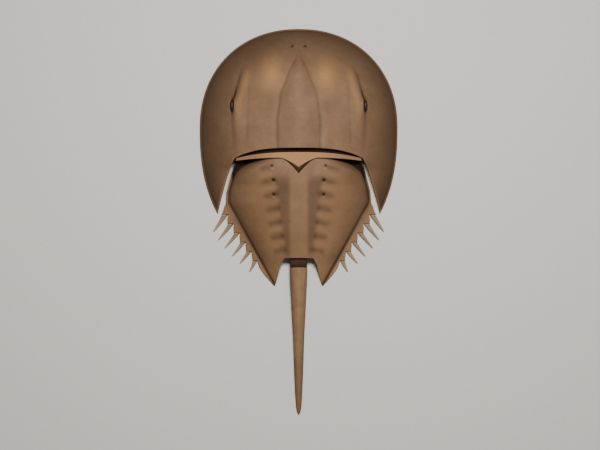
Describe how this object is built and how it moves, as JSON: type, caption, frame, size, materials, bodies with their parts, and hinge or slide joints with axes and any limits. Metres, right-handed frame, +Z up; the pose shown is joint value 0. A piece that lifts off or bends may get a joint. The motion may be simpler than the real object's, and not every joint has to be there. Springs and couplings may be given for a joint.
{
  "type": "horseshoe crab shell",
  "caption": "Dried horseshoe crab shell with hinged front and rear shields, movable marginal spines and a long pivoting tail spine.",
  "frame": {"origin": "middle of the resting footprint, on the surface the shell lies on", "axes": "+Y towards the front of the head shield, X crosswise with the mirror plane at X = 0, +Z up out of the back"},
  "size_m": [0.2, 0.39, 0.0497],
  "materials": {
    "prosoma_shell": "smooth satin brown chitin",
    "rear_shell": "smooth satin brown chitin",
    "collar_shell": "dark brown chitin",
    "tail_shell": "smooth satin brown chitin",
    "spine_shell": "dry brown chitin"
  },
  "bodies": {
    "head_shield": {"prosoma": "prosoma_shell"},
    "rear_shield": {"opisthosoma": "rear_shell"},
    "tail_collar": {"telson_collar": "collar_shell"},
    "tail": {"telson": "tail_shell"},
    "spine_left_1": {"spine_left_1": "spine_shell"},
    "spine_left_2": {"spine_left_2": "spine_shell"},
    "spine_left_3": {"spine_left_3": "spine_shell"},
    "spine_left_4": {"spine_left_4": "spine_shell"},
    "spine_left_5": {"spine_left_5": "spine_shell"},
    "spine_left_6": {"spine_left_6": "spine_shell"},
    "spine_right_1": {"spine_right_1": "spine_shell"},
    "spine_right_2": {"spine_right_2": "spine_shell"},
    "spine_right_3": {"spine_right_3": "spine_shell"},
    "spine_right_4": {"spine_right_4": "spine_shell"},
    "spine_right_5": {"spine_right_5": "spine_shell"},
    "spine_right_6": {"spine_right_6": "spine_shell"}
  },
  "joints": [
    {"name": "body_hinge", "type": "hinge", "parent": "head_shield", "child": "rear_shield", "pos_m": [0, 0.066, 0.03], "axis": [1, 0, 0], "range_deg": [-8, 35]},
    {"name": "tail_swing", "type": "hinge", "parent": "rear_shield", "child": "tail_collar", "pos_m": [0, -0.036, 0.012], "axis": [0, 0, 1], "range_deg": [-25, 25]},
    {"name": "tail_lift", "type": "hinge", "parent": "tail_collar", "child": "tail", "pos_m": [0, -0.0412, 0.012], "axis": [-1, 0, 0], "range_deg": [-25, 55]},
    {"name": "spine_left_1_pivot", "type": "hinge", "parent": "rear_shield", "child": "spine_left_1", "pos_m": [-0.07521, 0.00598, 0.0022], "axis": [0, 0, 1], "range_deg": [-8, 8]},
    {"name": "spine_left_2_pivot", "type": "hinge", "parent": "rear_shield", "child": "spine_left_2", "pos_m": [-0.06917, -0.00329, 0.0022], "axis": [0, 0, 1], "range_deg": [-8, 8]},
    {"name": "spine_left_3_pivot", "type": "hinge", "parent": "rear_shield", "child": "spine_left_3", "pos_m": [-0.06311, -0.01258, 0.0022], "axis": [0, 0, 1], "range_deg": [-8, 8]},
    {"name": "spine_left_4_pivot", "type": "hinge", "parent": "rear_shield", "child": "spine_left_4", "pos_m": [-0.05702, -0.02189, 0.0022], "axis": [0, 0, 1], "range_deg": [-8, 8]},
    {"name": "spine_left_5_pivot", "type": "hinge", "parent": "rear_shield", "child": "spine_left_5", "pos_m": [-0.05094, -0.03119, 0.0022], "axis": [0, 0, 1], "range_deg": [-8, 8]},
    {"name": "spine_left_6_pivot", "type": "hinge", "parent": "rear_shield", "child": "spine_left_6", "pos_m": [-0.04474, -0.04057, 0.0022], "axis": [0, 0, 1], "range_deg": [-8, 8]},
    {"name": "spine_right_1_pivot", "type": "hinge", "parent": "rear_shield", "child": "spine_right_1", "pos_m": [0.07521, 0.00598, 0.0022], "axis": [0, 0, 1], "range_deg": [-8, 8]},
    {"name": "spine_right_2_pivot", "type": "hinge", "parent": "rear_shield", "child": "spine_right_2", "pos_m": [0.06917, -0.00329, 0.0022], "axis": [0, 0, 1], "range_deg": [-8, 8]},
    {"name": "spine_right_3_pivot", "type": "hinge", "parent": "rear_shield", "child": "spine_right_3", "pos_m": [0.06311, -0.01258, 0.0022], "axis": [0, 0, 1], "range_deg": [-8, 8]},
    {"name": "spine_right_4_pivot", "type": "hinge", "parent": "rear_shield", "child": "spine_right_4", "pos_m": [0.05702, -0.02189, 0.0022], "axis": [0, 0, 1], "range_deg": [-8, 8]},
    {"name": "spine_right_5_pivot", "type": "hinge", "parent": "rear_shield", "child": "spine_right_5", "pos_m": [0.05094, -0.03119, 0.0022], "axis": [0, 0, 1], "range_deg": [-8, 8]},
    {"name": "spine_right_6_pivot", "type": "hinge", "parent": "rear_shield", "child": "spine_right_6", "pos_m": [0.04474, -0.04057, 0.0022], "axis": [0, 0, 1], "range_deg": [-8, 8]}
  ]
}
